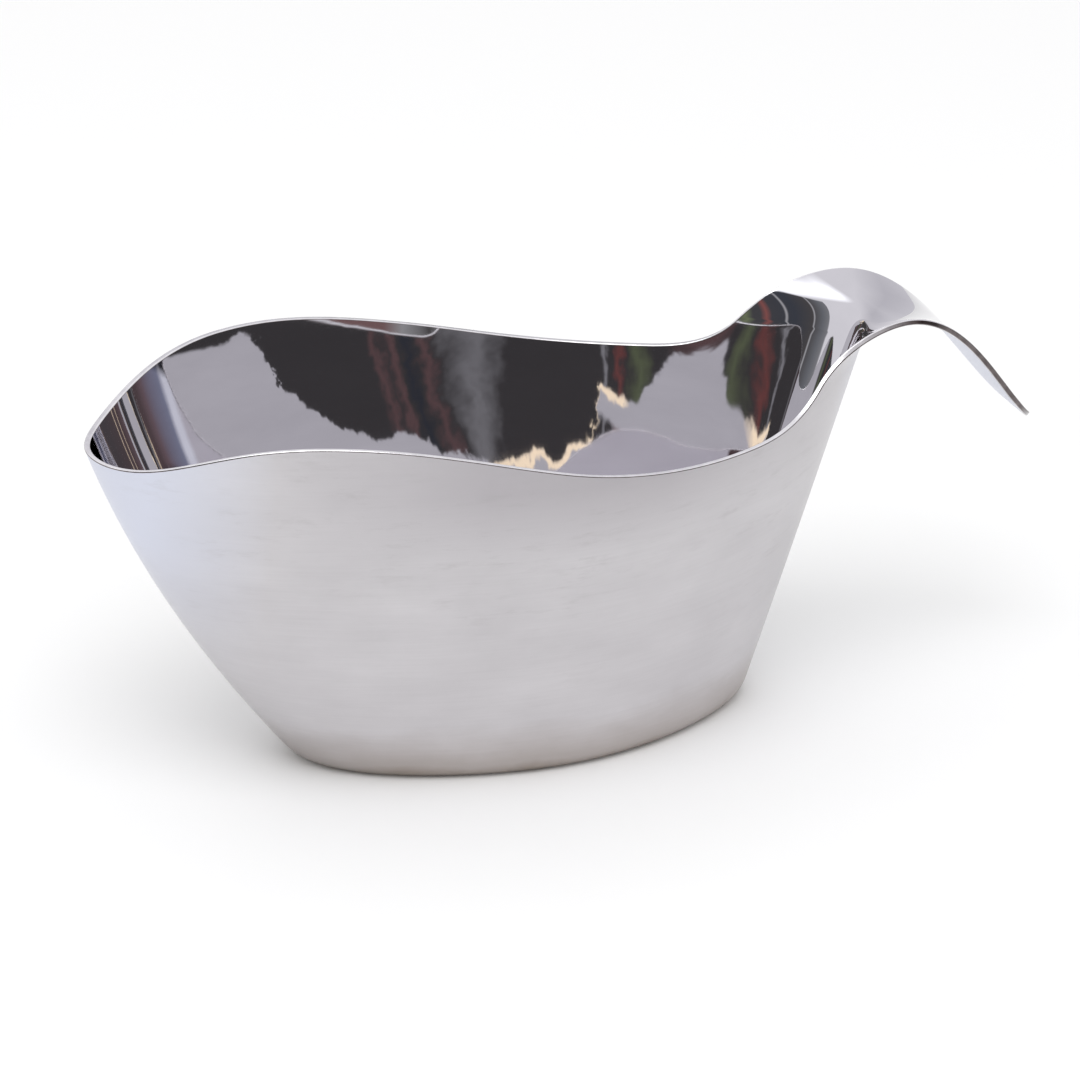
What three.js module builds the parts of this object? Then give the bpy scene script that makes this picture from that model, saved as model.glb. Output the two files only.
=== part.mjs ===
// A sauce boat of thin stainless sheet: an oval bowl with a wavy rim and a low spout lip, and a tongue handle
// that rises out of the back of the rim, turns over a crest and falls away as a free end.
//
// Millimetres, +Z up. The spout points towards -X and the handle towards +X, the boat is symmetric about the
// XZ plane, and it stands on z = 0 with the origin at the centre of its foot.
//
// Three pieces, each cut from the same sheet: the wall, the base pan welded under it, and the handle strap
// welded onto the wall's back edge. The welds are level butt joints, ground flush, so the edges that meet
// share one outline.

import * as THREE from 'three';
import { mergeVertices } from 'three/addons/utils/BufferGeometryUtils.js';

// The sheet, measured level, and the levels of the two welds
const sheetThickness = 1.2;
const baseWeldHeight = 4;
const handleWeldHeight = 76;

// Plan of the foot: reach of the front and back ends, half width, and where along X it is widest
const footFront = 50.4;
const footBack = 50.4;
const footHalfWidth = 26;
const footWidestX = -0.5;
const footCornerRadius = 3;

// Plan of the wall at the level where it is measured, near the rim
const planLevel = 80;
const planFront = 96.1;
const planBack = 76.1;
const planHalfWidth = 44.6;
const planWidestX = -4.8;

// How far the prow bulges out beyond a straight slope, halfway up to the plan level
const prowBulge = 4.9;

// Fullness of the plan curves: the share of the way to the corner that a quarter curve heads straight on,
// at the nose, along the front flank and at the tail. The back flank's follows from them.
const footNoseFullness = 0.608;
const footFlankFullness = 0.408;
const footTailFullness = 0.35;
const planNoseFullness = 0.619;
const planFlankFullness = 0.225;
const planTailFullness = 0.473;

// The upper edge in side view: from the lip over the hump and through the dip to the corner where it rises
// through the handle's weld, and on to the handle's crest and tip
const lipHeight = 75.1;
const humpX = -56.3;
const humpHeight = 83.8;
const dipX = 39.3;
const dipHeight = 68.9;
const cornerX = 58.1;
const cornerSlope = 1.18;
const crestX = 78.6;
const crestHeight = 85.1;
const tipX = 115.8;
const tipHeight = 53.5;
const tipSlope = -0.727;

// Shares of each stretch of that edge over which it holds its direction at either end
const lipHold = 0.282;
const humpFrontHold = 0.509;
const humpBackHold = 0.339;
const dipFrontHold = 0.435;
const dipBackHold = 0.377;
const cornerFrontHold = 0.28;
const cornerBackHold = 0.212;
const crestFrontHold = 0.363;
const crestBackHold = 0.4545;
const tipHold = 0.269;

// The handle: half widths, the length of its rounded end, and the channel that it carries on from the wall,
// whose bottom turns outward in a tight bend just above the weld and has its own, lower crest. Its thickness
// is level at the weld, as the wall's is, and turns square to the sheet over a share of the rise.
const crestHalfWidth = 16.7;
const tongueHalfWidth = 6.4;
const tongueEndLength = 9.4;
const channelDepth = 2.9;
const channelCrestOffset = 2.3;
const bendTightness = 0.942;
const channelCrestHold = 0.568;
const squaringShare = 0.4;

// Steps of the meshes: along the front and back flanks and across the handle, up the wall, round the base
// pan's corner, and along the handle up to the crest, down to its rounded end and round that end
const frontSteps = 26;
const backSteps = 16;
const handleSteps = 9;
const wallRows = 10;
const cornerSteps = 5;
const riseSteps = 13;
const fallSteps = 12;
const endSteps = 6;

function bezier(a, b, c, d, t) {
  const s = 1 - t;
  return a * s ** 3 + 3 * b * s * s * t + 3 * c * s * t * t + d * t ** 3;
}

// The value between low and high at which a falling function crosses zero
function crossing(fall, low, high) {
  for (let step = 0; step < 50; step += 1) {
    const middle = (low + high) / 2;
    if (fall(middle) > 0) low = middle;
    else high = middle;
  }
  return (low + high) / 2;
}

// The wall's outer plan at a level, from the nose (t = 0) by the widest place (t = 1) to the tail (t = 2).
// The back flank's fullness is the one at which the curve bends evenly through the widest place.
function wallPoint(t, z) {
  const level = z / planLevel;
  const blend = (foot, plan) => foot + (plan - foot) * level;
  const bulge = prowBulge * 4 * level * (1 - level);
  const front = -blend(footFront, planFront) - bulge;
  const back = blend(footBack, planBack);
  const half = blend(footHalfWidth, planHalfWidth);
  const widest = blend(footWidestX, planWidestX);
  const nose = blend(footNoseFullness, planNoseFullness);
  const tail = blend(footTailFullness, planTailFullness);
  const frontHandle = (widest - front) * blend(footFlankFullness, planFlankFullness);
  const backHandle = frontHandle * Math.sqrt((1 - tail) / (1 - nose));
  if (t <= 1) {
    const x = bezier(front, front, widest - frontHandle, widest, t);
    const y = bezier(0, half * nose, half, half, t);
    return new THREE.Vector3(x, y, z);
  }
  const x = bezier(widest, widest + backHandle, back, back, t - 1);
  const y = bezier(half, half, half * tail, 0, t - 1);
  return new THREE.Vector3(x, y, z);
}

// The level direction out of the wall
function outward(t, z) {
  const reach = 0.001;
  const ahead = wallPoint(Math.min(t + reach, 2), z);
  const along = ahead.sub(wallPoint(Math.max(t - reach, 0), z));
  if (t === 0) return new THREE.Vector3(-1, 0, 0);
  if (t === 2) return new THREE.Vector3(1, 0, 0);
  return new THREE.Vector3(-along.y, along.x, 0).normalize();
}

function inset(t, z, distance) {
  return wallPoint(t, z).addScaledVector(outward(t, z), -distance);
}

// One stretch of the upper edge, as a curve in x and z
function edgeStretch(x0, z0, slope0, hold0, x1, z1, slope1, hold1) {
  const run0 = (x1 - x0) * hold0;
  const run1 = (x1 - x0) * hold1;
  return new THREE.CubicBezierCurve(
    new THREE.Vector2(x0, z0),
    new THREE.Vector2(x0 + run0, z0 + slope0 * run0),
    new THREE.Vector2(x1 - run1, z1 - slope1 * run1),
    new THREE.Vector2(x1, z1),
  );
}

const lipX = wallPoint(0, lipHeight).x;
const lipToHump = edgeStretch(lipX, lipHeight, 0, lipHold, humpX, humpHeight, 0, humpFrontHold);
const humpToDip = edgeStretch(humpX, humpHeight, 0, humpBackHold, dipX, dipHeight, 0, dipFrontHold);
const dipToCorner = edgeStretch(
  dipX, dipHeight, 0, dipBackHold, cornerX, handleWeldHeight, cornerSlope, cornerFrontHold,
);
const cornerToCrest = edgeStretch(
  cornerX, handleWeldHeight, cornerSlope, cornerBackHold, crestX, crestHeight, 0, crestFrontHold,
);
const crestToTip = edgeStretch(crestX, crestHeight, 0, crestBackHold, tipX, tipHeight, tipSlope, tipHold);

function edgeHeight(x) {
  const starts = [humpX, dipX, cornerX].filter((start) => x >= start).length;
  const stretch = [lipToHump, humpToDip, dipToCorner, cornerToCrest][starts];
  return stretch.getPoint(crossing((t) => x - stretch.getPoint(t).x, 0, 1)).y;
}

// The ends of the handle's weld on the wall's plan
const weldT = crossing((t) => cornerX - wallPoint(t, handleWeldHeight).x, 1, 2);
const weldCorner = wallPoint(weldT, handleWeldHeight);
const weldTail = wallPoint(2, handleWeldHeight);

// The wall's upper edge: the wavy rim, and level under the handle
function wallTop(t) {
  if (t >= weldT) return handleWeldHeight;
  return crossing((z) => edgeHeight(wallPoint(t, z).x) - z, baseWeldHeight, crestHeight);
}

function spread(from, to, steps) {
  return Array.from({ length: steps }, (_, i) => from + ((to - from) * i) / steps);
}

// The places round one side of the plan that every piece shares, from the nose to the tail
const handleSide = [...spread(weldT, 2, handleSteps), 2];
const oneSide = [...spread(0, 1, frontSteps), ...spread(1, weldT, backSteps), ...handleSide];

function mirrored(point) {
  return new THREE.Vector3(point.x, -point.y, point.z);
}

// A row right round the plan, from one side's points: the nose and the tail lie on both sides
function roundRow(points) {
  return [...points, ...points.slice(1, -1).reverse().map(mirrored)];
}

// A row across the handle, from edge to edge, from one side's points
function crossRow(points) {
  return [...points, ...points.slice(0, -1).reverse().map(mirrored)];
}

// A closed body of sheet between an outer and an inner grid of points with the same rows and columns. Its
// open borders are closed by strips of edge face. Corners that coincide are one vertex, and a triangle that
// has lost its area at such a corner is left out.
function sheetGeometry(outer, inner, isRound) {
  const positions = [];
  const face = (a, b, c, d) => {
    for (const p of [a, c, b, a, d, c]) positions.push(p.x, p.y, p.z);
  };
  const columns = outer[0].length;
  const steps = isRound ? columns : columns - 1;
  for (let r = 0; r < outer.length - 1; r += 1) {
    for (let c = 0; c < steps; c += 1) {
      const n = (c + 1) % columns;
      face(outer[r][c], outer[r][n], outer[r + 1][n], outer[r + 1][c]);
      face(inner[r][c], inner[r + 1][c], inner[r + 1][n], inner[r][n]);
    }
    if (!isRound) {
      const last = columns - 1;
      face(outer[r][0], outer[r + 1][0], inner[r + 1][0], inner[r][0]);
      face(outer[r][last], inner[r][last], inner[r + 1][last], outer[r + 1][last]);
    }
  }
  const top = outer.length - 1;
  for (let c = 0; c < steps; c += 1) {
    const n = (c + 1) % columns;
    face(outer[0][c], inner[0][c], inner[0][n], outer[0][n]);
    face(outer[top][c], outer[top][n], inner[top][n], inner[top][c]);
  }
  const soup = new THREE.BufferGeometry();
  soup.setAttribute('position', new THREE.Float32BufferAttribute(positions, 3));
  const merged = mergeVertices(soup, 1e-4);
  const corners = merged.index.array;
  const kept = [];
  for (let i = 0; i < corners.length; i += 3) {
    const [a, b, c] = [corners[i], corners[i + 1], corners[i + 2]];
    if (a !== b && b !== c && c !== a) kept.push(a, b, c);
  }
  merged.setIndex(kept);
  merged.computeVertexNormals();
  return merged;
}

function wallGeometry() {
  const tops = oneSide.map(wallTop);
  const row = (share, depth) => roundRow(oneSide.map((t, i) => {
    const z = baseWeldHeight + (tops[i] - baseWeldHeight) * share;
    return inset(t, z, depth);
  }));
  const shares = [...spread(0, 1, wallRows), 1];
  const outer = shares.map((share) => row(share, 0));
  const inner = shares.map((share) => row(share, sheetThickness));
  return sheetGeometry(outer, inner, true);
}

// The pan: a flat bottom, a rounded corner and a turned-up edge that meets the wall
function baseGeometry() {
  const surface = (floor, depth) => {
    const centre = new THREE.Vector3(0, 0, floor);
    const rows = [roundRow(oneSide.map(() => centre))];
    for (let step = 0; step <= cornerSteps; step += 1) {
      rows.push(roundRow(oneSide.map((t) => {
        const flat = inset(t, floor, footCornerRadius);
        const corner = inset(t, floor, depth);
        const edge = inset(t, baseWeldHeight, depth);
        return new THREE.QuadraticBezierCurve3(flat, corner, edge).getPoint(step / cornerSteps);
      })));
    }
    return rows;
  };
  return sheetGeometry(surface(0, 0), surface(sheetThickness, sheetThickness), true);
}

// How the wall's surface runs on at the weld, per unit of height and of t
function wallDirections(t) {
  const reach = 0.001;
  const change = (dt, dz) => wallPoint(t + dt, handleWeldHeight + dz)
    .sub(wallPoint(t - dt, handleWeldHeight - dz))
    .divideScalar(2 * reach);
  return { up: change(0, reach), along: change(reach, 0) };
}

// The handle's outer grid, row by row from the weld to the tip. Its columns carry on the wall's: each one has
// its share of the way across and of the way up from the channel's bottom to the edge, as the wall's plan
// has them at the weld. The edges follow the upper edge of the boat, and the channel's bottom has its own
// curve in side view.
function handleOuterRows() {
  const channelCrest = new THREE.Vector2(crestX + channelCrestOffset, crestHeight - channelDepth);
  const bendRise = (channelCrest.y - weldTail.z) * bendTightness;
  const channelRun = (channelCrest.x - weldTail.x) * channelCrestHold;
  const channelBeforeCrest = new THREE.Vector2(channelCrest.x - channelRun, channelCrest.y);
  const channelFall = edgeStretch(
    channelCrest.x, channelCrest.y, 0, crestBackHold, tipX, tipHeight, tipSlope, tipHold,
  );
  const fallLength = crestToTip.getLength();
  const taper = (tongueHalfWidth - crestHalfWidth) / fallLength;

  // The edge leaves the corner along the rim
  const beforeCorner = wallPoint(weldT - 0.01, wallTop(weldT - 0.01));
  const rimRun = weldCorner.clone().sub(beforeCorner);
  const edgeRun = cornerToCrest.v1.x - cornerToCrest.v0.x;
  const edgeRise = cornerToCrest.v1.y - cornerToCrest.v0.y;
  const edgeNarrowing = (rimRun.y / rimRun.x) * edgeRun;
  const halfBeforeCrest = crestHalfWidth - taper * (crestX - cornerToCrest.v2.x);

  // A point of a column between the channel's bottom and the edge, both given in side view
  const between = (column, channel, edge, half) => {
    const middle = channel.clone().lerp(edge, column.rise);
    return new THREE.Vector3(middle.x, half * column.across, middle.y);
  };
  const columns = handleSide.map((t) => {
    const start = wallPoint(t, handleWeldHeight);
    const across = start.y / weldCorner.y;
    const rise = (weldTail.x - start.x) / (weldTail.x - weldCorner.x);
    return { t, start, across, rise };
  });
  // On its way up to the crest a column leaves the weld in the wall's own surface
  const climbs = columns.map((column) => {
    const { up, along } = wallDirections(column.t);
    const climb = THREE.MathUtils.lerp(bendRise, edgeRise, column.rise);
    const drift = (column.across * edgeNarrowing - climb * up.y) / along.y;
    return new THREE.CubicBezierCurve3(
      column.start,
      column.start.clone().addScaledVector(up, climb).addScaledVector(along, drift),
      between(column, channelBeforeCrest, cornerToCrest.v2, halfBeforeCrest),
      between(column, channelCrest, cornerToCrest.v3, crestHalfWidth),
    );
  });
  const rows = spread(0, 1, riseSteps).map((share) => crossRow(climbs.map((climb) => climb.getPoint(share))));

  // From the crest on the handle tapers evenly, down to its rounded end
  const fallWidth = (length) => {
    const roundness = Math.max(0, (length - fallLength + tongueEndLength) / tongueEndLength);
    return (crestHalfWidth + taper * length) * Math.sqrt(Math.max(0, 1 - roundness ** 2));
  };
  const endStart = 1 - tongueEndLength / fallLength;
  const endAngles = [...spread(0, Math.PI / 2, endSteps), Math.PI / 2];
  const endShares = endAngles.map((angle) => endStart + (1 - endStart) * Math.sin(angle));
  for (const share of [...spread(0, endStart, fallSteps), ...endShares]) {
    const half = share === 1 ? 0 : fallWidth(share * fallLength);
    const channel = channelFall.getPointAt(share);
    const edge = crestToTip.getPointAt(share);
    rows.push(crossRow(columns.map((column) => between(column, channel, edge, half))));
  }
  return rows;
}

// The handle's inner grid, one sheet thickness in from the outer one
function handleInnerRows(outer) {
  const lastFull = outer.length - 2;
  const levels = crossRow(handleSide.map((t) => outward(t, handleWeldHeight).negate()));
  return outer.map((points, r) => points.map((point, c) => {
    const nearRow = THREE.MathUtils.clamp(r, 1, lastFull);
    const along = outer[nearRow + 1][c].clone().sub(outer[nearRow - 1][c]);
    const row = outer[nearRow];
    const across = row[Math.min(c + 1, row.length - 1)].clone().sub(row[Math.max(c - 1, 0)]);
    const square = across.cross(along).normalize();
    const turned = THREE.MathUtils.smoothstep(r / riseSteps, 0, squaringShare);
    const direction = levels[c].clone().lerp(square, turned).normalize();
    return point.clone().addScaledVector(direction, sheetThickness);
  }));
}

function handleGeometry() {
  const outer = handleOuterRows();
  return sheetGeometry(outer, handleInnerRows(outer), false);
}

function piece(name, geometry, material) {
  const mesh = new THREE.Mesh(geometry, new THREE.MeshStandardMaterial(material));
  mesh.name = name;
  return mesh;
}

const boat = new THREE.Group();
boat.add(piece('body_wall', wallGeometry(), { color: 0xc8c5c8, roughness: 0.38, metalness: 1 }));
boat.add(piece('base_plate', baseGeometry(), { color: 0xc4c0c0, roughness: 0.4, metalness: 1 }));
boat.add(piece('handle', handleGeometry(), { color: 0xcfcdd2, roughness: 0.12, metalness: 1 }));

export default boat;
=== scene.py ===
import math

import bpy
import numpy as np
from mathutils import Matrix, Vector

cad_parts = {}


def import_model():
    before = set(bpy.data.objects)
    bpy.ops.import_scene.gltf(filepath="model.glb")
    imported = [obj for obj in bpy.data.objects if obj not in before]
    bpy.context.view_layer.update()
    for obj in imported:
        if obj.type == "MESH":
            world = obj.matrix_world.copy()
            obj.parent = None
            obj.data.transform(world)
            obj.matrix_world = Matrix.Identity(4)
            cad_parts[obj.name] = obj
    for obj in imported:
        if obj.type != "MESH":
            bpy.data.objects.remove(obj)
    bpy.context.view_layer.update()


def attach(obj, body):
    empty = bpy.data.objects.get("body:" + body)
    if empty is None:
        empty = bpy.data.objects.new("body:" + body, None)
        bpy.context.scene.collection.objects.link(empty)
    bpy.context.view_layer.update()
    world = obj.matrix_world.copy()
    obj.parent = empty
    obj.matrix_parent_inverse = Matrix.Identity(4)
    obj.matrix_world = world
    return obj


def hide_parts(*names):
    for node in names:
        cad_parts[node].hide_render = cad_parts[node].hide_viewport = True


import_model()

# A sauce boat of thin stainless sheet. Its outside is satin, and its inside and the top of its handle are
# polished. The sheet has the CAD model's driving dimensions, in millimetres, and is drawn with fine meshes
# and rounded free edges. Two things differ from the CAD model: the sides bulge a little, and the wide plan
# is 0.16 mm slimmer on each side, so that they stay within its box. Meshes, camera and floor are then in
# metres, in the CAD frame.
MM = 0.001

# The sheet, and the levels of its two welds
SHEET = 1.2
BASE_WELD = 4.0
HANDLE_WELD = 76.0
FOOT_CORNER = 3.0
EDGE_ROUNDING = 0.3
INNER_INSET = 0.6

# Plan of the foot, and of the wall near the rim: reach of both ends, half width, widest place, fullnesses
FOOT = dict(front=50.4, back=50.4, half=26.0, widest=-0.5, nose=0.608, flank=0.408, tail=0.35)
PLAN = dict(front=96.1, back=76.1, half=44.44, widest=-4.8, nose=0.619, flank=0.225, tail=0.473)

# The level of the wide plan, and how far the nose bulges forward half way up to it
PLAN_LEVEL = 80.0
PROW_BULGE = 4.9

# The bulge of the sides: its size half way up, the level where it ends, and how far it leans towards the rim
SIDE_BULGE = 0.6
BULGE_LEVEL = 78.5
BULGE_LEAN = 2.0

# The upper edge in side view, x and z: lip, hump, dip, the handle's corner, crest and tip
LIP_HEIGHT = 75.1
HUMP = (-56.3, 83.8)
DIP = (39.3, 68.9)
CORNER = (58.1, HANDLE_WELD)
CORNER_SLOPE = 1.18
CREST = (78.6, 85.1)
TIP = (115.8, 53.5)
TIP_SLOPE = -0.727

# Shares of each stretch of that edge over which it holds its direction, at its front and at its back
LIP_TO_HUMP = (0.282, 0.509)
HUMP_TO_DIP = (0.339, 0.435)
DIP_TO_CORNER = (0.377, 0.28)
CORNER_TO_CREST = (0.212, 0.363)
CREST_TO_TIP = (0.4545, 0.269)

# The handle: half widths, its rounded end, and the channel along its middle
CREST_HALF = 16.7
TONGUE_HALF = 6.4
TONGUE_END = 9.4
CHANNEL_DEPTH = 2.9
CHANNEL_OFFSET = 2.3
BEND_TIGHTNESS = 0.942
CHANNEL_HOLD = 0.568
SQUARING_SHARE = 0.4

# Mesh steps
FRONT_STEPS = 110
BACK_STEPS = 70
HANDLE_STEPS = 26
WALL_ROWS = 56
RISE_ROWS = 44
FALL_ROWS = 44
END_ROWS = 14
ROUND_STEPS = 4
SPOKE_ROWS = 12
BEND_ROWS = 8

# Steps for finding places on curves, and the small reaches for taking directions
CURVE_STEPS = np.linspace(0, 1, 2001)
PLACE_STEPS = 4001
SETTLING_ROUNDS = 60
REACH = 1e-3
FINE_REACH = 1e-4

# Under these, a length, and a share of the way across the handle, count as none
NO_LENGTH = 1e-12
NO_SHARE = 1e-9

UP = np.array([0, 0, 1.0])
DOWN = np.array([0, 0, -1.0])


def bezier(a, b, c, d, t):
    s = 1 - t
    return a * s**3 + 3 * b * s * s * t + 3 * c * s * t * t + d * t**3


def unit(v):
    return v / np.maximum(np.linalg.norm(v, axis=-1, keepdims=True), NO_LENGTH)


def smooth(t):
    t = np.clip(t, 0, 1)
    return t * t * (3 - 2 * t)


def wall_point(t, z):
    """The wall's outer plan at a level: nose at t = 0, widest place at t = 1, tail at t = 2."""
    t, z = np.broadcast_arrays(np.asarray(t, float), np.asarray(z, float))
    level = z / PLAN_LEVEL
    now = {k: FOOT[k] + (PLAN[k] - FOOT[k]) * level for k in FOOT}
    front = -now["front"] - PROW_BULGE * 4 * level * (1 - level)
    back, widest = now["back"], now["widest"]
    rise = z / BULGE_LEVEL
    half = now["half"] + SIDE_BULGE * 4 * rise * (1 - rise) * (1 + BULGE_LEAN * (rise - 0.5))
    # Both halves of the plan are equally curved at the widest place
    evenness = np.sqrt((1 - now["tail"]) / (1 - now["nose"]))
    back_flank = now["flank"] * (widest - front) / (back - widest) * evenness
    u = np.where(t <= 1, t, t - 1)
    x_front = bezier(front, front, widest + (front - widest) * now["flank"], widest, u)
    x_back = bezier(widest, widest + (back - widest) * back_flank, back, back, u)
    y_front = bezier(0, half * now["nose"], half, half, u)
    y_back = bezier(half, half, half * now["tail"], 0, u)
    return np.stack([np.where(t <= 1, x_front, x_back), np.where(t <= 1, y_front, y_back), z], -1)


def wall_along(t, z):
    return (wall_point(t + FINE_REACH, z) - wall_point(t - FINE_REACH, z)) / (2 * FINE_REACH)


def wall_up(t, z):
    return (wall_point(t, z + REACH) - wall_point(t, z - REACH)) / (2 * REACH)


def wall_normal(t, z):
    """Out of the wall, square to it."""
    return unit(np.cross(wall_up(t, z), wall_along(t, z)))


def level_outward(t, z):
    """Out of the wall, level."""
    n = wall_normal(t, z)
    n[..., 2] = 0
    return unit(n)


def stretch(start, start_slope, end, end_slope, holds):
    """A cubic curve between two points, with its slope at each and the share over which it holds it."""
    run_in, run_out = (end[0] - start[0]) * holds[0], (end[0] - start[0]) * holds[1]
    ahead = (start[0] + run_in, start[1] + start_slope * run_in)
    before = (end[0] - run_out, end[1] - end_slope * run_out)
    return np.array([start, ahead, before, end])


def on_curve(curve, t):
    return bezier(*curve, np.asarray(t, float)[..., None])


def by_length(curve, shares):
    """Points at shares of the curve's length, and that length."""
    points = on_curve(curve, CURVE_STEPS)
    run = np.concatenate([[0], np.cumsum(np.linalg.norm(np.diff(points, axis=0), axis=1))])
    return on_curve(curve, np.interp(shares * run[-1], run, CURVE_STEPS)), run[-1]


LIP = (float(wall_point(0, LIP_HEIGHT)[0]), LIP_HEIGHT)
EDGE = [
    stretch(LIP, 0, HUMP, 0, LIP_TO_HUMP),
    stretch(HUMP, 0, DIP, 0, HUMP_TO_DIP),
    stretch(DIP, 0, CORNER, CORNER_SLOPE, DIP_TO_CORNER),
]
EDGE_RISE = stretch(CORNER, CORNER_SLOPE, CREST, 0, CORNER_TO_CREST)
EDGE_FALL = stretch(CREST, 0, TIP, TIP_SLOPE, CREST_TO_TIP)
EDGE_LINE = np.concatenate([on_curve(curve, CURVE_STEPS[:-1]) for curve in EDGE] + [EDGE[-1][-1:]])

TAIL_PLACES = np.linspace(1, 2, PLACE_STEPS)
CORNER_T = float(np.interp(CORNER[0], wall_point(TAIL_PLACES, HANDLE_WELD)[:, 0], TAIL_PLACES))


def rim_height(t):
    """The level at which the wall, which leans out, meets the edge line of the side view."""
    z = np.full(np.shape(t), HANDLE_WELD)
    for _ in range(SETTLING_ROUNDS):
        z = z + 0.5 * (np.interp(wall_point(t, z)[..., 0], EDGE_LINE[:, 0], EDGE_LINE[:, 1]) - z)
    return z


# The handle's surface. Its columns carry on the wall's, by their share of the way across from the tail line
HANDLE_T = np.linspace(CORNER_T, 2, PLACE_STEPS)
WELD_LINE = wall_point(HANDLE_T, HANDLE_WELD)
CORNER_POINT, TAIL_POINT = WELD_LINE[0], WELD_LINE[-1]
CHANNEL_CREST = np.array([CREST[0] + CHANNEL_OFFSET, CREST[1] - CHANNEL_DEPTH])
CHANNEL_FALL = stretch(tuple(CHANNEL_CREST), 0, TIP, TIP_SLOPE, CREST_TO_TIP)
EDGE_LENGTH = by_length(EDGE_FALL, np.array([1.0]))[1]
TAPER = (TONGUE_HALF - CREST_HALF) / EDGE_LENGTH
BEND_RISE = (CHANNEL_CREST[1] - HANDLE_WELD) * BEND_TIGHTNESS
CHANNEL_RUN = (CHANNEL_CREST[0] - TAIL_POINT[0]) * CHANNEL_HOLD
CHANNEL_BEFORE = np.array([CHANNEL_CREST[0] - CHANNEL_RUN, CHANNEL_CREST[1]])


def place_across(a):
    """For shares across, the wall's place at the weld and how far the column has risen to the edge."""
    t = np.interp(-np.abs(a), -WELD_LINE[:, 1] / CORNER_POINT[1], HANDLE_T)
    t = np.where(np.abs(a) < NO_SHARE, 2.0, t)
    x = wall_point(t, HANDLE_WELD)[..., 0]
    return t, (TAIL_POINT[0] - x) / (TAIL_POINT[0] - CORNER_POINT[0])


def rise_point(u, a):
    """A point of the rise: u from the weld to the crest, a from the tail line to the edge."""
    t, rise = place_across(a)
    rise = rise[..., None]
    up, along = wall_up(t, HANDLE_WELD), wall_along(t, HANDLE_WELD)
    before = CORNER_T - REACH
    rim_way = CORNER_POINT - wall_point(before, float(rim_height(np.array(before))))
    edge_run = EDGE_RISE[1] - EDGE_RISE[0]
    edge_way = np.array([edge_run[0], rim_way[1] / rim_way[0] * edge_run[0], edge_run[1]])
    alpha = BEND_RISE + (edge_way[2] - BEND_RISE) * rise
    beta = (np.abs(a)[..., None] * edge_way[1] - alpha * up[..., 1:2]) / along[..., 1:2]
    start = wall_point(t, HANDLE_WELD)
    second = start + alpha * up + beta * along
    half_before = CREST_HALF - TAPER * (EDGE_RISE[3][0] - EDGE_RISE[2][0])

    def level(channel, edge, half):
        middle = channel + (edge - channel) * rise
        return np.stack([middle[..., 0], half * np.abs(a), middle[..., 1]], -1)

    third = level(CHANNEL_BEFORE, EDGE_RISE[2], half_before)
    last = level(CHANNEL_CREST, EDGE_RISE[3], CREST_HALF)
    return bezier(start, second, third, last, u[..., None])


def fall_point(length, a):
    """A point of the fall, by its length along the edge from the crest."""
    rise = place_across(a)[1][..., None]
    share = length / EDGE_LENGTH
    channel, edge = by_length(CHANNEL_FALL, share)[0], by_length(EDGE_FALL, share)[0]
    middle = channel + (edge - channel) * rise
    return np.stack([middle[..., 0], (CREST_HALF + TAPER * length) * np.abs(a), middle[..., 1]], -1)


# Shares across the handle from the edge to the tail line, half even and half crowded towards the edge
EVENLY = np.linspace(0, 1, HANDLE_STEPS + 1)
ACROSS = 1 - 0.5 * EVENLY - 0.5 * (1 - np.cos(EVENLY * np.pi / 2))
ACROSS[-1] = 0


def handle_grid(inset):
    """One side of the handle and its normals, with the free edges drawn in by an inset. Rows go from the
    weld to the end, and columns from the edge to the tail line."""
    def rows_of(point, values, half):
        values = np.broadcast_to(values, (values.shape[0], len(ACROSS)))
        a = ACROSS[None] * (1 - inset / half)

        def at(dv, da):
            return point(values + dv, np.clip(a + da, 0, 1))

        here = at(0, 0)
        along = at(REACH, 0) - at(-REACH, 0)
        across = at(0, REACH) - at(0, -REACH)
        across[:, -1] = (0, 1, 0)
        along[:, -1, 1] = 0
        return here, unit(np.cross(across, along))

    u = np.linspace(0, 1, RISE_ROWS + 1)[:, None]
    widths = np.linalg.norm(rise_point(u, np.ones((1, 1)))[..., 1:2], axis=-1)
    rise_rows, rise_normals = rows_of(rise_point, u, widths)
    end_start = EDGE_LENGTH - 2 * TONGUE_END
    lengths = np.linspace(0, end_start, FALL_ROWS + 1)[1:, None]
    fall_rows, fall_normals = rows_of(fall_point, lengths, CREST_HALF + TAPER * lengths)
    share = np.linspace(0, 1, END_ROWS + 1)[1:, None]
    end = EDGE_LENGTH - TONGUE_END + (TONGUE_END - inset) * np.sqrt(1 - ACROSS[None] ** 2)
    ends = end_start + (end - end_start) * share
    end_rows, end_normals = rows_of(fall_point, ends, CREST_HALF + TAPER * ends)
    rows = np.concatenate([rise_rows, fall_rows, end_rows])
    normals = np.concatenate([rise_normals, fall_normals, end_normals])
    normals[0] = wall_normal(place_across(ACROSS)[0], HANDLE_WELD)
    return rows, normals


# Patches of the surface: positions, normals and the finish of each, on one side of the boat or right across
OUTSIDE, INSIDE, EDGE_FINISH = 0, 1, 2
FLIP = np.array([1, -1, 1])

# Corners on the same step of this grid become one vertex
GRID_STEPS_PER_MM = 1e4


def patch(points, normals, finish):
    return points, np.broadcast_to(normals, points.shape), finish


def both_sides(patches):
    return patches + [(p * FLIP, n * FLIP, finish) for p, n, finish in patches]


def quads(grid):
    return np.stack([grid[:-1, :-1], grid[:-1, 1:], grid[1:, 1:], grid[1:, :-1]], 2).reshape(-1, 4, 3)


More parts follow.
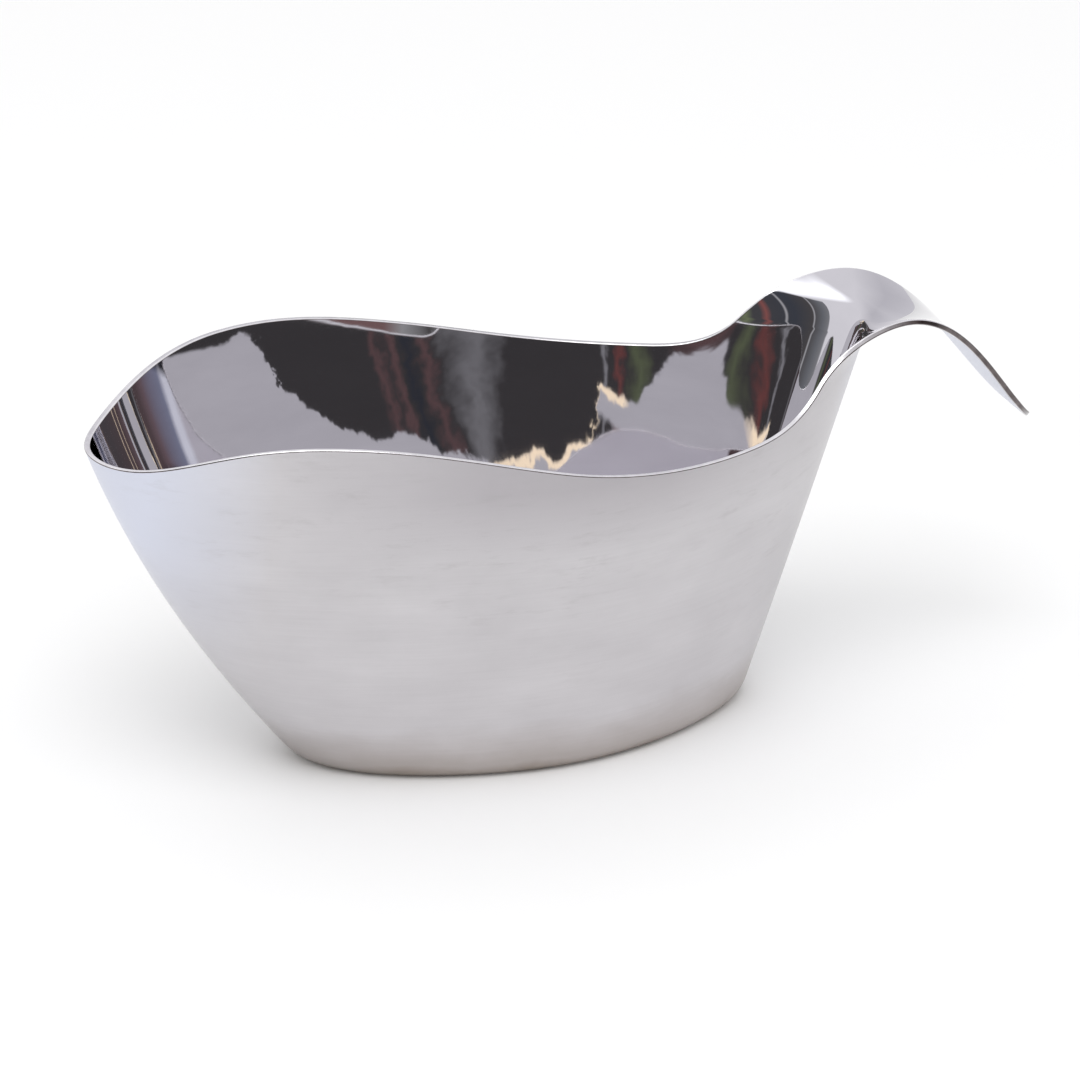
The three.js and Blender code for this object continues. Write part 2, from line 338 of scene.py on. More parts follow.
def build(name, patches, materials):
    """One closed mesh from patches, with their normals. Shared borders become one row of vertices."""
    corners, corner_normals, finishes = [], [], []
    for points, normals, finish in patches:
        p, n = quads(points), quads(normals)
        facing = np.cross(p[:, 2] - p[:, 0], p[:, 3] - p[:, 1])
        back = (facing * n.sum(1)).sum(-1) < 0
        p[back], n[back] = p[back][:, ::-1], n[back][:, ::-1]
        corners.append(p)
        corner_normals.append(n)
        finishes.append(np.full(len(p), finish))
    corners, corner_normals = np.concatenate(corners), np.concatenate(corner_normals)
    finishes = np.concatenate(finishes)
    keys = np.round(corners.reshape(-1, 3) * GRID_STEPS_PER_MM).astype(np.int64)
    _, first, index = np.unique(keys, axis=0, return_index=True, return_inverse=True)
    vertices = corners.reshape(-1, 3)[first] * MM
    index = index.reshape(-1, 4)
    faces, loop_normals, face_finish = [], [], []
    for ring, around, finish in zip(index.tolist(), corner_normals, finishes.tolist()):
        kept = [k for k in range(4) if ring[k] != ring[k - 1]]
        if len(kept) >= 3:
            faces.append([ring[k] for k in kept])
            loop_normals.extend(around[k] for k in kept)
            face_finish.append(finish)
    mesh = bpy.data.meshes.new(name)
    mesh.from_pydata(vertices.tolist(), [], faces)
    mesh.polygons.foreach_set("material_index", face_finish)
    mesh.polygons.foreach_set("use_smooth", [True] * len(faces))
    for material in materials:
        mesh.materials.append(material)
    mesh.update()
    mesh.normals_split_custom_set([Vector(n) for n in loop_normals])
    piece = bpy.data.objects.new(name, mesh)
    bpy.context.scene.collection.objects.link(piece)
    return piece


def plan_places():
    """The places round one side of the plan at which the wall and the pan have their columns."""
    front = np.linspace(0, 1, FRONT_STEPS, endpoint=False)
    back = np.linspace(1, CORNER_T, BACK_STEPS + 1)
    tail = place_across(ACROSS * (1 - INNER_INSET / CORNER_POINT[1]))[0]
    return np.concatenate([front, back, tail[1:]])


PLACES = plan_places()
RIM = FRONT_STEPS + BACK_STEPS
TOPS = np.concatenate([rim_height(PLACES[:RIM]), np.full(len(ACROSS), HANDLE_WELD)])


def into_sheet(normals):
    """From the outer surface to the inner one: level on the wall, and square to the handle's sheet."""
    level = level_outward(PLACES[RIM:], HANDLE_WELD)
    turned = smooth(np.arange(len(normals)) / (RISE_ROWS * SQUARING_SHARE))[:, None, None]
    return -SHEET * unit(level + (normals - level) * turned)


def free_edge():
    """The line round all free edges, from the nose by the handle's corner to the tip on one side: outline,
    surface normal, depth of the sheet, and the direction out of the edge."""
    rim_t, rim_z = PLACES[:RIM], TOPS[:RIM]
    rows, normals = handle_grid(0.0)
    depths = into_sheet(normals)

    def round_handle(grid):
        return np.concatenate([grid[:, 0], grid[-1, 1:]])

    outline = np.concatenate([wall_point(rim_t, rim_z), round_handle(rows)])
    normal = np.concatenate([wall_normal(rim_t, rim_z), round_handle(normals)])
    depth = np.concatenate([-SHEET * level_outward(rim_t, rim_z), round_handle(depths)])
    line = np.concatenate([[outline[1] * FLIP], outline, [outline[-2] * FLIP]])
    chords = unit(np.diff(line, axis=0))
    return outline, normal, depth, unit(np.cross(chords[:-1] + chords[1:], normal))


OUTLINE, OUTLINE_NORMAL, OUTLINE_DEPTH, OUTLINE_WAY = free_edge()
BORDER = OUTLINE - EDGE_ROUNDING * OUTLINE_WAY


def edge_section():
    """The rounded edge's patch, its rows going over the edge from the outer to the inner surface."""
    round_share = EDGE_ROUNDING / SHEET
    angles = np.linspace(0, math.pi / 2, ROUND_STEPS + 1)
    turns = [(angle, 1) for angle in angles] + [(angle, -1) for angle in angles[::-1]]
    points, normals = [], []
    for angle, side in turns:
        in_from_side = round_share * (1 - math.cos(angle))
        share = in_from_side if side > 0 else 1 - in_from_side
        points.append(BORDER + OUTLINE_DEPTH * share + EDGE_ROUNDING * OUTLINE_WAY * math.sin(angle))
        normals.append(unit(OUTLINE_NORMAL * side * math.cos(angle) + OUTLINE_WAY * math.sin(angle)))
    return np.array(points), np.array(normals)


EDGE_POINTS, EDGE_NORMALS = edge_section()
HANDLE_ROWS, HANDLE_NORMALS = handle_grid(INNER_INSET)
HANDLE_DEPTH = into_sheet(HANDLE_NORMALS)
LAST_ROW = RIM + len(HANDLE_ROWS)
for grid, border in ((HANDLE_ROWS, BORDER), (HANDLE_NORMALS, OUTLINE_NORMAL), (HANDLE_DEPTH, OUTLINE_DEPTH)):
    grid[:, 0] = border[RIM:LAST_ROW]
    grid[-1, 1:] = border[LAST_ROW:]


def edge_cap(facing):
    """The flat end of the rounded edge at the handle's corner, hidden inside the weld."""
    ring = EDGE_POINTS[:, RIM]
    half = len(ring) // 2
    return patch(np.stack([ring[:half], ring[half:][::-1]]), facing, EDGE_FINISH)


def wall_patches():
    upper = np.concatenate([BORDER[: RIM + 1, 2], TOPS[RIM + 1 :]])
    z = BASE_WELD + (upper - BASE_WELD) * np.linspace(0, 1, WALL_ROWS + 1)[:, None]
    t = np.broadcast_to(PLACES, z.shape)
    outer, normals, depth = wall_point(t, z), wall_normal(t, z), -SHEET * level_outward(t, z)
    for grid, border, handle in (
        (outer, BORDER, HANDLE_ROWS),
        (normals, OUTLINE_NORMAL, HANDLE_NORMALS),
        (depth, OUTLINE_DEPTH, HANDLE_DEPTH),
    ):
        grid[-1, :RIM] = border[:RIM]
        grid[-1, RIM:] = handle[0]
    inner = outer + depth
    return [
        patch(outer, normals, OUTSIDE),
        patch(inner, -normals, INSIDE),
        patch(EDGE_POINTS[:, : RIM + 1], EDGE_NORMALS[:, : RIM + 1], EDGE_FINISH),
        patch(np.stack([outer[-1, RIM:], inner[-1, RIM:]]), UP, EDGE_FINISH),
        patch(np.stack([outer[0], inner[0]]), DOWN, EDGE_FINISH),
        edge_cap(UP),
    ]


def handle_patches():
    outer, normals = HANDLE_ROWS, HANDLE_NORMALS
    inner = outer + HANDLE_DEPTH
    return [
        patch(outer, normals, OUTSIDE),
        patch(inner, -normals, INSIDE),
        patch(EDGE_POINTS[:, RIM:], EDGE_NORMALS[:, RIM:], EDGE_FINISH),
        patch(np.stack([outer[0], inner[0]]), DOWN, EDGE_FINISH),
        edge_cap(DOWN),
    ]


def base_patches():
    """The pan: flat bottom, rounded corner and turned-up edge, outside and inside."""
    def surface(level, depth, side):
        flat = wall_point(PLACES, level) - FOOT_CORNER * level_outward(PLACES, level)
        corner = wall_point(PLACES, level) - depth * level_outward(PLACES, level)
        edge = wall_point(PLACES, BASE_WELD) - depth * level_outward(PLACES, BASE_WELD)
        spokes = np.linspace(0, 1, SPOKE_ROWS, endpoint=False)[:, None, None]
        rings = flat * spokes + np.array([0, 0, level]) * (1 - spokes)
        s = np.linspace(0, 1, BEND_ROWS + 1)[:, None, None]
        bend = flat * (1 - s) ** 2 + 2 * corner * s * (1 - s) + edge * s * s
        way = unit((corner - flat) * (1 - s) + (edge - corner) * s)
        out = level_outward(PLACES, level)
        level_share = (way * out).sum(-1, keepdims=True)
        bend_normals = unit(out * way[..., 2:3] - UP * level_share)
        bend_normals[-1] = wall_normal(PLACES, BASE_WELD)
        points = np.concatenate([rings, bend])
        normals = np.concatenate([np.broadcast_to(DOWN, rings.shape), bend_normals])
        return points, normals * side

    outer, outer_normals = surface(0.0, 0.0, 1)
    inner, inner_normals = surface(SHEET, SHEET, -1)
    return [
        patch(outer, outer_normals, OUTSIDE),
        patch(inner, inner_normals, INSIDE),
        patch(np.stack([outer[-1], inner[-1]]), UP, EDGE_FINISH),
    ]


# The numbers of a Mix node's sockets for colour
MIX_A, MIX_B, MIX_RESULT = 6, 7, 2


class Nodes:
    """A short way to write node materials."""

    def __init__(self, tree):
        self.tree = tree
        tree.nodes.clear()

    def add(self, kind, **settings):
        node = self.tree.nodes.new(kind)
        for key, value in settings.items():
            setattr(node, key, value)
        return node

    def link(self, source, target):
        self.tree.links.new(source, target)

    def feed(self, socket, value):
        if isinstance(value, bpy.types.NodeSocket):
            self.link(value, socket)
        else:
            socket.default_value = value

    def math(self, operation, a, b=0.0, clamp=False):
        node = self.add("ShaderNodeMath", operation=operation, use_clamp=clamp)
        self.feed(node.inputs[0], a)
        self.feed(node.inputs[1], b)
        return node.outputs[0]

    def plus(self, a, b):
        return self.math("ADD", a, b)

    def less(self, a, b):
        return self.math("SUBTRACT", a, b)

    def times(self, first, *others):
        for other in others:
            first = self.math("MULTIPLY", first, other)
        return first

    def ramp(self, value, stops):
        node = self.add("ShaderNodeValToRGB")
        elements = node.color_ramp.elements
        while len(elements) < len(stops):
            elements.new(0.5)
        for element, (place, colour) in zip(elements, stops):
            element.position = place
            element.color = (*colour, 1)
        self.feed(node.inputs[0], value)
        return node.outputs[0]

    def mix(self, share, a, b):
        """From a to b by a share, each a colour or a socket."""
        node = self.add("ShaderNodeMix", data_type="RGBA")
        self.feed(node.inputs[0], share)
        for number, colour in ((MIX_A, a), (MIX_B, b)):
            self.feed(node.inputs[number], (*colour, 1) if isinstance(colour, tuple) else colour)
        return node.outputs[MIX_RESULT]

    def dot(self, vector, along):
        node = self.add("ShaderNodeVectorMath", operation="DOT_PRODUCT")
        self.feed(node.inputs[0], vector)
        self.feed(node.inputs[1], along)
        return node.outputs["Value"]

    def offset(self, vector, by):
        node = self.add("ShaderNodeVectorMath", operation="ADD")
        self.feed(node.inputs[0], vector)
        self.feed(node.inputs[1], by)
        return node.outputs[0]

    def scaled(self, vector, scale):
        node = self.add("ShaderNodeMapping")
        self.feed(node.inputs["Vector"], vector)
        self.feed(node.inputs["Scale"], scale)
        return node.outputs[0]

    def noise(self, vector, scale, detail, roughness):
        node = self.add("ShaderNodeTexNoise")
        self.feed(node.inputs["Vector"], vector)
        self.feed(node.inputs["Scale"], scale)
        self.feed(node.inputs["Detail"], detail)
        self.feed(node.inputs["Roughness"], roughness)
        return node.outputs["Fac"]

    def span(self, value, start, end):
        """From 0 at the start to 1 at the end, level beyond both."""
        node = self.add("ShaderNodeMapRange", clamp=True)
        self.feed(node.inputs["Value"], value)
        self.feed(node.inputs["From Min"], start)
        self.feed(node.inputs["From Max"], end)
        return node.outputs[0]

    def within(self, value, low, high, soft):
        """1 between two values and 0 outside them, with borders of a soft width."""
        rise = self.span(value, low - soft / 2, low + soft / 2)
        fall = self.span(value, high + soft / 2, high - soft / 2)
        return self.times(rise, fall)

    def below(self, value, top, soft):
        """1 under a top and 0 above it, with a soft border under it."""
        return self.math("MULTIPLY", self.less(top, value), 1 / soft, clamp=True)

    def relief(self, shader, height, depth):
        """Fine relief on the surface, of a depth in metres."""
        node = self.add("ShaderNodeBump")
        self.feed(node.inputs["Distance"], depth)
        self.feed(node.inputs["Height"], height)
        self.link(node.outputs[0], shader.inputs["Normal"])


def material(name):
    made = bpy.data.materials.new(name)
    made.use_nodes = True
    nodes = Nodes(made.node_tree)
    shader = nodes.add("ShaderNodeBsdfPrincipled")
    output = nodes.add("ShaderNodeOutputMaterial")
    nodes.link(shader.outputs[0], output.inputs[0])
    return made, nodes, shader


def steel(name):
    made, nodes, shader = material(name)
    shader.inputs["Metallic"].default_value = 1.0
    return made, nodes, shader, nodes.add("ShaderNodeTexCoord").outputs["Object"]


# The satin's tones, and the painted shade and painted reflection that lie over them by place
SATIN_TONES = [(0.3, (0.53, 0.515, 0.53)), (0.7, (0.61, 0.595, 0.61))]
# Painted shade, darker under the rim's middle
SATIN_PAINTED_SHADE = (0.42, 0.4, 0.42)
# Painted reflection, cool, at both ends
SATIN_PAINTED_COOL_REFLECTION = (0.63, 0.65, 0.74)
# Painted shade, warm, low down by the foot
SATIN_PAINTED_FOOT_SHADE = (0.31, 0.26, 0.22)
SATIN_SCUFF = (0.36, 0.34, 0.35)

# Where the painted shade and painted reflection lie, in millimetres: levels, which the clouds shift, and
# places along the boat
PAINTED_SHADE_LEVELS = (58, 76)
PAINTED_SHADE_ALONG = (-48, 42)
PAINTED_SHADE_SOFT = 50
COOL_REFLECTION_LEVELS = (20, 60)
COOL_REFLECTION_FROM_MIDDLE = (64, 86)
FOOT_SHADE_LEVELS = (18, 8)
DEEPEST_FOOT_SHADE_LEVELS = (7, 3)
CLOUD_SHIFT = 8.0

# How strong the painted shade under the rim and the scuffs are
PAINTED_SHADE_SHARE = 0.9
SCUFF_SHARE = 0.3


def satin_steel():
    """Level brushing, clouds and scuffs, with painted shade under the rim's middle, a painted cool
    reflection at both ends and painted warm shade low down.
    """
    made, nodes, shader, place = steel("satin_steel")
    streaks = nodes.noise(nodes.scaled(place, (60, 60, 1900)), scale=1.0, detail=4.0, roughness=0.62)
    clouds = nodes.noise(nodes.scaled(place, (1, 1, 2)), scale=42.0, detail=4.0, roughness=0.55)
    colour = nodes.ramp(nodes.plus(nodes.times(streaks, 0.35), nodes.times(clouds, 0.65)), SATIN_TONES)

    level = nodes.plus(nodes.dot(place, (0, 0, 1 / MM)), nodes.times(clouds, CLOUD_SHIFT))
    along = nodes.dot(place, (1 / MM, 0, 0))
    # Painted shade under the rim's middle
    painted_shade = nodes.times(nodes.span(level, *PAINTED_SHADE_LEVELS), nodes.within(along, *PAINTED_SHADE_ALONG, PAINTED_SHADE_SOFT))
    colour = nodes.mix(nodes.times(painted_shade, PAINTED_SHADE_SHARE), colour, SATIN_PAINTED_SHADE)
    from_middle = nodes.math("ABSOLUTE", along)
    # Painted cool reflection at both ends
    cool_reflection = nodes.times(nodes.span(level, *COOL_REFLECTION_LEVELS), nodes.span(from_middle, *COOL_REFLECTION_FROM_MIDDLE))
    colour = nodes.mix(cool_reflection, colour, SATIN_PAINTED_COOL_REFLECTION)
    # Painted warm shade low down, by the foot
    foot_shade = nodes.plus(nodes.span(level, *FOOT_SHADE_LEVELS), nodes.span(level, *DEEPEST_FOOT_SHADE_LEVELS))
    colour = nodes.mix(nodes.times(foot_shade, 0.5), colour, SATIN_PAINTED_FOOT_SHADE)

    marks = nodes.noise(nodes.scaled(place, (0.3, 0.3, 1.4)), scale=380.0, detail=5.0, roughness=0.7)
    worn = nodes.noise(nodes.offset(place, (3, 1, 2)), scale=26.0, detail=3.0, roughness=0.5)
    scuffs = nodes.times(nodes.span(marks, 0.54, 0.74), nodes.span(worn, 0.42, 0.62), SCUFF_SHARE)
    colour = nodes.mix(scuffs, colour, SATIN_SCUFF)
    nodes.feed(shader.inputs["Base Color"], colour)
    nodes.feed(shader.inputs["Roughness"], nodes.plus(0.3, nodes.times(streaks, 0.1)))
    nodes.relief(shader, streaks, 0.004 * MM)
    return made


def polished_steel():
    """A mirror with faint smears, hair scratches and a slight waviness."""
    made, nodes, shader, place = steel("polished_steel")
    smears = nodes.noise(nodes.scaled(place, (1, 1, 3)), scale=55.0, detail=5.0, roughness=0.6)
    colour = nodes.ramp(smears, [(0.35, (0.585, 0.575, 0.6)), (0.65, (0.61, 0.6, 0.625))])
    nodes.feed(shader.inputs["Base Color"], colour)
    hairs = nodes.noise(nodes.scaled(place, (25, 25, 1500)), scale=1.0, detail=3.0, roughness=0.6)
    nodes.feed(shader.inputs["Roughness"], nodes.plus(0.004, nodes.times(hairs, 0.03)))
    waves = nodes.noise(place, scale=85.0, detail=2.0, roughness=0.4)
    nodes.relief(shader, waves, 0.01 * MM)
    return made


def edge_steel():
    """The ground edge: a painted highlight where it faces up or down, and painted shade, dark brown, on its
    flanks.
    """
    made, nodes, shader, place = steel("edge_steel")
    grind = nodes.noise(place, scale=400.0, detail=4.0, roughness=0.6)
    # Painted highlight, for where the edge faces up or down
    painted_highlight = nodes.ramp(grind, [(0.3, (0.72, 0.71, 0.72)), (0.7, (0.84, 0.83, 0.84))])
    # Painted shade, dark brown, for the edge's flanks
    flank = nodes.ramp(grind, [(0.3, (0.1, 0.085, 0.085)), (0.7, (0.2, 0.175, 0.175))])
    facing = nodes.dot(nodes.add("ShaderNodeNewGeometry").outputs["Normal"], (0, 0, 1))
    flank_shade_share = nodes.span(nodes.math("ABSOLUTE", facing), 0.7, 0.3)
    nodes.feed(shader.inputs["Base Color"], nodes.mix(flank_shade_share, painted_highlight, flank))
    nodes.feed(shader.inputs["Roughness"], nodes.plus(0.14, nodes.times(grind, 0.14)))
    return made


FINISHES = [satin_steel(), polished_steel(), edge_steel()]
PIECES = [
    ("wall_sheet", "body_wall", "satin_steel", both_sides(wall_patches())),
    ("base_pan", "base_plate", "satin_steel", both_sides(base_patches())),
    ("handle_strap", "handle", "polished_steel", both_sides(handle_patches())),
]
for name, node, slot, patches in PIECES:
    piece = build(name, patches, FINISHES)
    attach(piece, "root")
    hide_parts(node)


# What stands round the table is seen only mirrored in the steel. Azimuths are in degrees from the camera's
# side, positive to its right. Heights are in degrees above the level. Colours are light, where 1 is white.
CAMERA_AZIMUTH = -21.663
DARK = (0.095, 0.09, 0.092)
NIGHT = (0.065, 0.072, 0.09)
SLATE = (0.2, 0.21, 0.23)
GREY = (0.38, 0.38, 0.39)
PALE = (0.55, 0.55, 0.57)
BROWN = (0.24, 0.145, 0.145)
RUST = (0.33, 0.12, 0.11)
MOSS = (0.22, 0.26, 0.15)
UMBER = (0.22, 0.2, 0.2)
PLUM = (0.3, 0.22, 0.22)
ROSE = (0.5, 0.36, 0.38)
LILAC = (0.6, 0.58, 0.72)
SKY = (0.7, 0.76, 0.98)
BACK_WALL = (0.7, 0.69, 0.74)
ROOM = (1.0, 0.99, 1.03)
BRIGHT_ROOM = (1.67, 1.65, 1.7)
WINDOW = (2.3, 2.35, 2.4)
SHEEN = (2.3, 2.4, 2.5)
CREAM = (2.4, 2.0, 1.4)

# A backdrop runs between two azimuths. It has a line of tops, shades from end to end, and stripes, each with
# its azimuth, half width and colour.
BACKDROP_WEST = (-170, -104)
WEST_TOPS = [
    (-170, 8), (-163, 9), (-162, 14), (-157, 19), (-148, 22), (-141, 26), (-136, 26), (-124, 23), (-123, 19),
    (-117, 19), (-113, 16), (-104, 13),
]
WEST_SHADES = [(-170, DARK), (-104, DARK)]
WEST_STRIPES = [
    (-148.5, 1, BROWN), (-146.5, 1, BROWN), (-144.5, 1, NIGHT), (-142.5, 1, BROWN), (-139, 2.5, GREY),
    (-122, 0.5, PALE), (-119.5, 1, RUST), (-116.5, 2, MOSS), (-109, 3, BROWN),
]
BACKDROP_SOUTH = (-80, -20)
SOUTH_SEEN = (-74, -20)
SOUTH_TOPS = [(-80, 3), (-74, 4), (-72, 44), (-65, 46), (-47, 54), (-20, 58)]
SOUTH_SHADES = [(-80, GREY), (-66, SLATE), (-56, DARK), (-44, NIGHT), (-20, DARK)]
SOUTH_STRIPES = [(-57.5, 1, PALE), (-39.5, 1, PALE), (-31, 2, RUST), (-24, 2.5, MOSS)]
SHELF = (-106, -23)
SHELF_SHADES = [
    (-106, UMBER), (-62, PLUM), (-55, ROSE), (-48, LILAC), (-41, SKY), (-38.5, SHEEN), (-36.5, SHEEN),
    (-34.5, BRIGHT_ROOM), (-23, BRIGHT_ROOM),
]
SHELF_STRIPES = [(-76, 1.5, CREAM), (-66.5, 1, CREAM)]
HORIZON = (30, 100)
HORIZON_SHADES = [(30, GREY), (42, DARK), (52, GREY), (56, BROWN), (72, BROWN), (78, DARK), (100, DARK)]
HIGHEST_TOP = 60.0

# Other areas: azimuths, heights, and the soft widths of their borders in both
WINDOW_AREA = ((-140, -40), (53, 72), 30, 12)
BACK_WALL_AREA = ((150, 190), (-20, 34), 30, 26)
TONGUE_AREA = ((-124, -117.6), (21, 22.7), 0.4, 0.5)
UNDER_TONGUE_AREA = ((-124, -118), (22.6, 23.1), 1, 0.2)
SHELF_AREA = (SHELF, (28.6, 36), 2, 0.8)
HORIZON_AREA = (HORIZON, (-30, 5), 3, 3)
BROWN_AREA = ((29.5, 47), (29, 41), 1, 1)

# The cream hem on the western tops: its azimuths, and its heights from the top
HEM_AZIMUTHS = (-138.5, -118.5)
HEM_BAND = (-0.15, 0.35)

# The spread in degrees of the noise that frays the western outlines
RAGGED_HEIGHT = 3.4
RAGGED_AZIMUTH = 4.0

# Soft widths of the other borders
WEST_SOFT = 0.3
WEST_TOP_SOFT = 0.25
HEM_SOFT = 0.2
HEM_END_SOFT = 1.0
SOUTH_SOFT = 3.0
HORIZON_SOFT = 3.0

# Ray Depth is 2 where a ray reaches the world after one reflection, and each further reflection adds 1
TWICE = 2.5
THREE_TIMES = 3.5


def striped(shades, stripes):
    """The shades with the stripes laid over them."""
    azimuths = [azimuth for azimuth, colour in shades]
    channels = list(zip(*(colour for azimuth, colour in shades)))

    def shade(azimuth):
        return tuple(float(np.interp(azimuth, azimuths, channel)) for channel in channels)

    stops = list(shades)
    for middle, half, colour in stripes:
        low, high = middle - half, middle + half
        stops = [stop for stop in stops if not low < stop[0] < high]
        stops += [(low, shade(low)), (middle, colour), (high, shade(high))]
    return sorted(stops)


def bearing(nodes, way):
    """Degrees round the boat from the camera's side, positive to the camera's right."""
    turn = math.radians(CAMERA_AZIMUTH)
    across = nodes.dot(way, (math.cos(turn), math.sin(turn), 0))
    towards = nodes.dot(way, (math.sin(turn), -math.cos(turn), 0))
    return nodes.times(nodes.math("ARCTAN2", across, towards), 180 / math.pi)


def colours(nodes, limits, stops, azimuth):
    """Colours that blend from stop to stop between two azimuths."""
    low, high = limits
    places = [((a - low) / (high - low), colour) for a, colour in stops]
    return nodes.ramp(nodes.span(azimuth, low, high), places)


def tops(nodes, limits, stops, azimuth):
    """The height of a backdrop's top at an azimuth."""
    shares = [(a, (top / HIGHEST_TOP,) * 3) for a, top in stops]
    return nodes.times(colours(nodes, limits, shares, azimuth), HIGHEST_TOP)


def area(nodes, azimuth, height, azimuths, heights, soft_sides, soft_ends):
    """1 between two azimuths and two heights, and 0 outside them."""
    sides = nodes.within(azimuth, *azimuths, soft_sides)
    return nodes.times(sides, nodes.within(height, *heights, soft_ends))


def surroundings(nodes, depth):
    """The light that the steel mirrors from each direction. It also depends on the number of reflections."""
    way = nodes.add("ShaderNodeTexCoord").outputs["Generated"]
    azimuth = bearing(nodes, way)
    height = nodes.times(nodes.math("ARCSINE", nodes.dot(way, (0, 0, 1))), 180 / math.pi)
    coarse = nodes.less(nodes.noise(way, scale=16.0, detail=5.0, roughness=0.6), 0.5)
    elsewhere = nodes.offset(way, (7, 3, 5))
    fine = nodes.less(nodes.noise(elsewhere, scale=34.0, detail=4.0, roughness=0.6), 0.5)
    ragged_height = nodes.plus(height, nodes.times(coarse, RAGGED_HEIGHT))
    ragged_azimuth = nodes.plus(azimuth, nodes.times(fine, RAGGED_AZIMUTH))
    twice = nodes.math("GREATER_THAN", depth, TWICE)
    three_times = nodes.math("GREATER_THAN", depth, THREE_TIMES)

    light = nodes.mix(three_times, ROOM, BRIGHT_ROOM)
    light = nodes.mix(area(nodes, azimuth, height, *WINDOW_AREA), light, WINDOW)
    behind = area(nodes, nodes.math("ABSOLUTE", azimuth), height, *BACK_WALL_AREA)
    light = nodes.mix(nodes.times(behind, nodes.less(1.0, twice)), light, BACK_WALL)

    top = tops(nodes, BACKDROP_WEST, WEST_TOPS, ragged_azimuth)
    west = nodes.times(twice, nodes.within(ragged_azimuth, *BACKDROP_WEST, WEST_SOFT))
    tongue = area(nodes, ragged_azimuth, ragged_height, *TONGUE_AREA)
    dark_west = nodes.math("MAXIMUM", tongue, nodes.below(ragged_height, top, WEST_TOP_SOFT))
    west_colours = colours(nodes, BACKDROP_WEST, striped(WEST_SHADES, WEST_STRIPES), ragged_azimuth)
    light = nodes.mix(nodes.times(west, dark_west), light, west_colours)
    on_top = nodes.within(nodes.less(ragged_height, top), *HEM_BAND, HEM_SOFT)
    hem = nodes.math("MAXIMUM", on_top, area(nodes, azimuth, ragged_height, *UNDER_TONGUE_AREA))
    hem = nodes.times(hem, west, nodes.within(azimuth, *HEM_AZIMUTHS, HEM_END_SOFT))
    light = nodes.mix(hem, light, CREAM)

    south_top = tops(nodes, BACKDROP_SOUTH, SOUTH_TOPS, azimuth)
    south = nodes.within(azimuth, *SOUTH_SEEN, SOUTH_SOFT)
    dark_south = nodes.times(south, nodes.below(height, south_top, SOUTH_SOFT))
    south_colours = colours(nodes, BACKDROP_SOUTH, striped(SOUTH_SHADES, SOUTH_STRIPES), azimuth)
    light = nodes.mix(dark_south, light, south_colours)

    shelf = nodes.times(area(nodes, azimuth, height, *SHELF_AREA), three_times)
    light = nodes.mix(shelf, light, colours(nodes, SHELF, striped(SHELF_SHADES, SHELF_STRIPES), azimuth))
    low = area(nodes, azimuth, height, *HORIZON_AREA)
    light = nodes.mix(low, light, colours(nodes, HORIZON, HORIZON_SHADES, azimuth))
    brown = nodes.times(area(nodes, azimuth, height, *BROWN_AREA), three_times)
    return nodes.mix(brown, light, BROWN)


# The pale table: its reach in metres, and the squared distances over which its mirror image ends
TABLE_REACH = 1.1
TABLE_COLOUR = (0.93, 0.93, 0.93, 1)
TABLE_ROUGHNESS = 0.6
TABLE_END_SQUARED = (0.12, 0.2)


def floor():
    """The pale table. Mirrored in the steel it ends, on one side, where the horizon of the room begins."""
    mesh = bpy.data.meshes.new("table_top")
    corners = [(-1, -1), (1, -1), (1, 1), (-1, 1)]
    mesh.from_pydata([(x * TABLE_REACH, y * TABLE_REACH, 0) for x, y in corners], [], [(0, 1, 2, 3)])
    made, nodes, shader = material("table_white")
    shader.inputs["Base Color"].default_value = TABLE_COLOUR
    shader.inputs["Roughness"].default_value = TABLE_ROUGHNESS
    place = nodes.add("ShaderNodeNewGeometry").outputs["Position"]
    azimuth = bearing(nodes, place)
    mirrored = nodes.add("ShaderNodeLightPath").outputs["Is Glossy Ray"]
    beyond = nodes.span(nodes.dot(place, place), *TABLE_END_SQUARED)
    far = nodes.times(beyond, mirrored, nodes.within(azimuth, *HORIZON, HORIZON_SOFT))
    room = nodes.add("ShaderNodeEmission")
    nodes.feed(room.inputs[0], colours(nodes, HORIZON, HORIZON_SHADES, azimuth))
    both = nodes.add("ShaderNodeMixShader")
    nodes.feed(both.inputs[0], far)
    nodes.link(shader.outputs[0], both.inputs[1])
    nodes.link(room.outputs[0], both.inputs[2])
    nodes.link(both.outputs[0], nodes.tree.nodes["Material Output"].inputs[0])
    mesh.materials.append(made)
    table = bpy.data.objects.new("table_top", mesh)
    bpy.context.scene.collection.objects.link(table)


# The world as it gives soft light, and as the camera sees it
SOFT_LIGHT = (0.9, 0.9, 0.9)
WHITE = (1, 1, 1)


def world():
    """White for the camera, even for soft light, and the surroundings for the steel."""
    made = bpy.data.worlds.new("studio")
    bpy.context.scene.world = made
    made.use_nodes = True
    nodes = Nodes(made.node_tree)
    rays = nodes.add("ShaderNodeLightPath").outputs
    colour = nodes.mix(rays["Is Glossy Ray"], SOFT_LIGHT, surroundings(nodes, rays["Ray Depth"]))
    colour = nodes.mix(rays["Is Camera Ray"], colour, WHITE)
    back = nodes.add("ShaderNodeBackground")
    nodes.feed(back.inputs[0], colour)
    nodes.link(back.outputs[0], nodes.add("ShaderNodeOutputWorld").inputs[0])


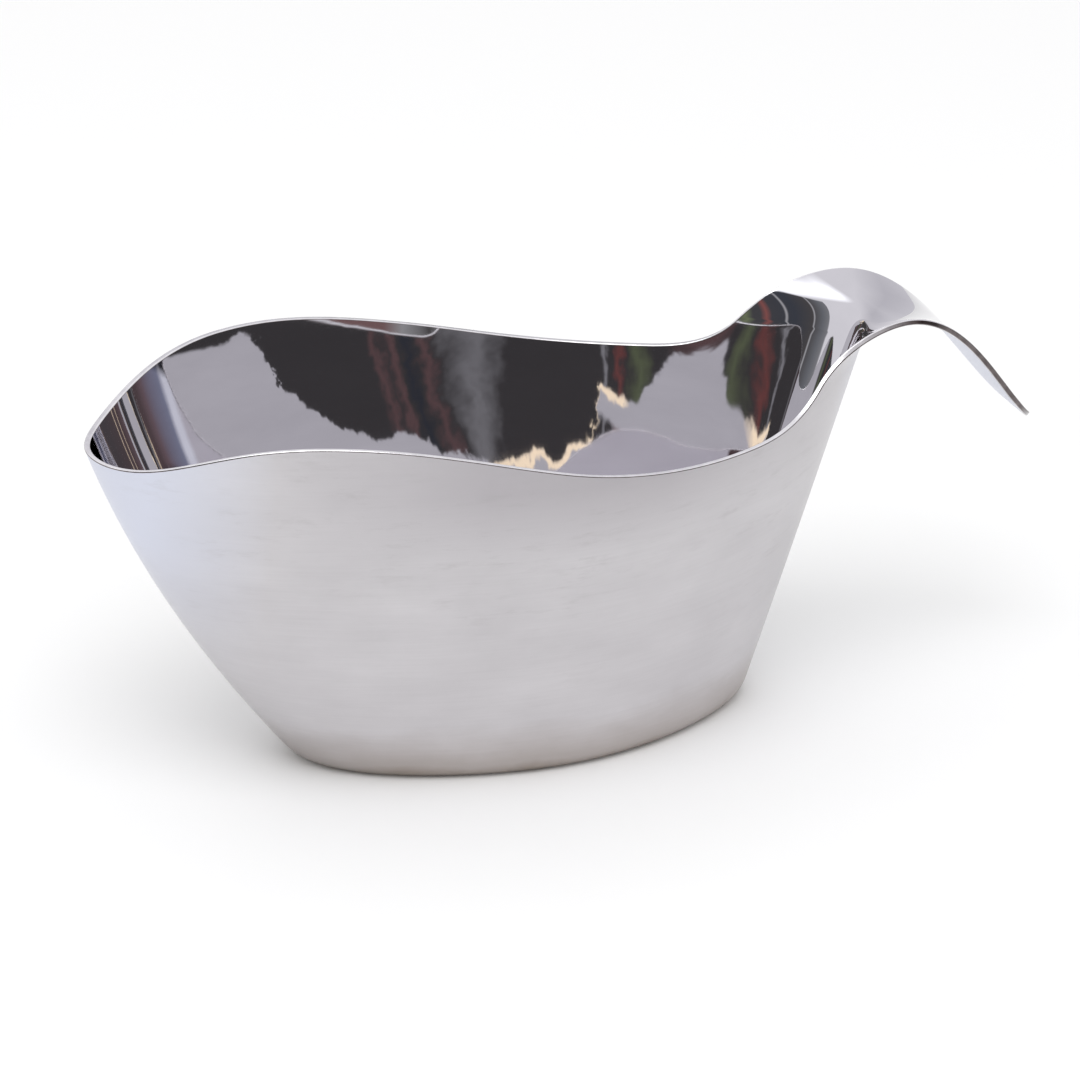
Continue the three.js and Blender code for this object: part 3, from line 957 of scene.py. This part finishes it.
# The camera, in degrees and millimetres, with its scale in pixels of the photograph for each millimetre
CAMERA_ELEVATION = 24.0
CAMERA_ROLL = 0.56
CAMERA_DISTANCE = 1272.97
CAMERA_SCALE = 4.778
CAMERA_AIM = (0, 0, 45)
AIM_TO_RIGHT = 3.877
AIM_UP = -3.113
PHOTO_WIDTH = 1080
SENSOR_WIDTH = 36.0
VIEW_REACH_M = 20


def camera():
    azimuth, elevation, roll = (math.radians(a) for a in (CAMERA_AZIMUTH, CAMERA_ELEVATION, CAMERA_ROLL))
    level = math.cos(elevation)
    back = Vector((math.sin(azimuth) * level, -math.cos(azimuth) * level, math.sin(elevation)))
    right = Vector((math.cos(azimuth), math.sin(azimuth), 0))
    up = back.cross(right)
    eye = Vector(CAMERA_AIM) + right * AIM_TO_RIGHT + up * AIM_UP + back * CAMERA_DISTANCE
    side = right * math.cos(roll) + up * math.sin(roll)
    top = up * math.cos(roll) - right * math.sin(roll)
    data = bpy.data.cameras.new("camera")
    data.sensor_width = SENSOR_WIDTH
    data.lens = SENSOR_WIDTH * CAMERA_SCALE * CAMERA_DISTANCE / PHOTO_WIDTH
    data.clip_end = VIEW_REACH_M
    made = bpy.data.objects.new("camera", data)
    turn = Matrix((side, top, back)).transposed().to_4x4()
    made.matrix_world = Matrix.Translation(eye * MM) @ turn
    bpy.context.scene.collection.objects.link(made)
    bpy.context.scene.camera = made


# The one lamp, in metres and watts
LAMP_PLACE = (-0.3, -0.5, 1.2)
LAMP_TARGET = (0, 0, 0.04)
LAMP_SIZE = 0.8
LAMP_POWER = 6.0


def lamp():
    data = bpy.data.lights.new("key", "AREA")
    data.shape = "SQUARE"
    data.size = LAMP_SIZE
    data.energy = LAMP_POWER
    made = bpy.data.objects.new("key", data)
    made.location = LAMP_PLACE
    away = Vector(LAMP_PLACE) - Vector(LAMP_TARGET)
    made.rotation_euler = away.to_track_quat("Z", "Y").to_euler()
    bpy.context.scene.collection.objects.link(made)


floor()
world()
camera()
lamp()
bpy.context.scene.view_settings.view_transform = "Standard"
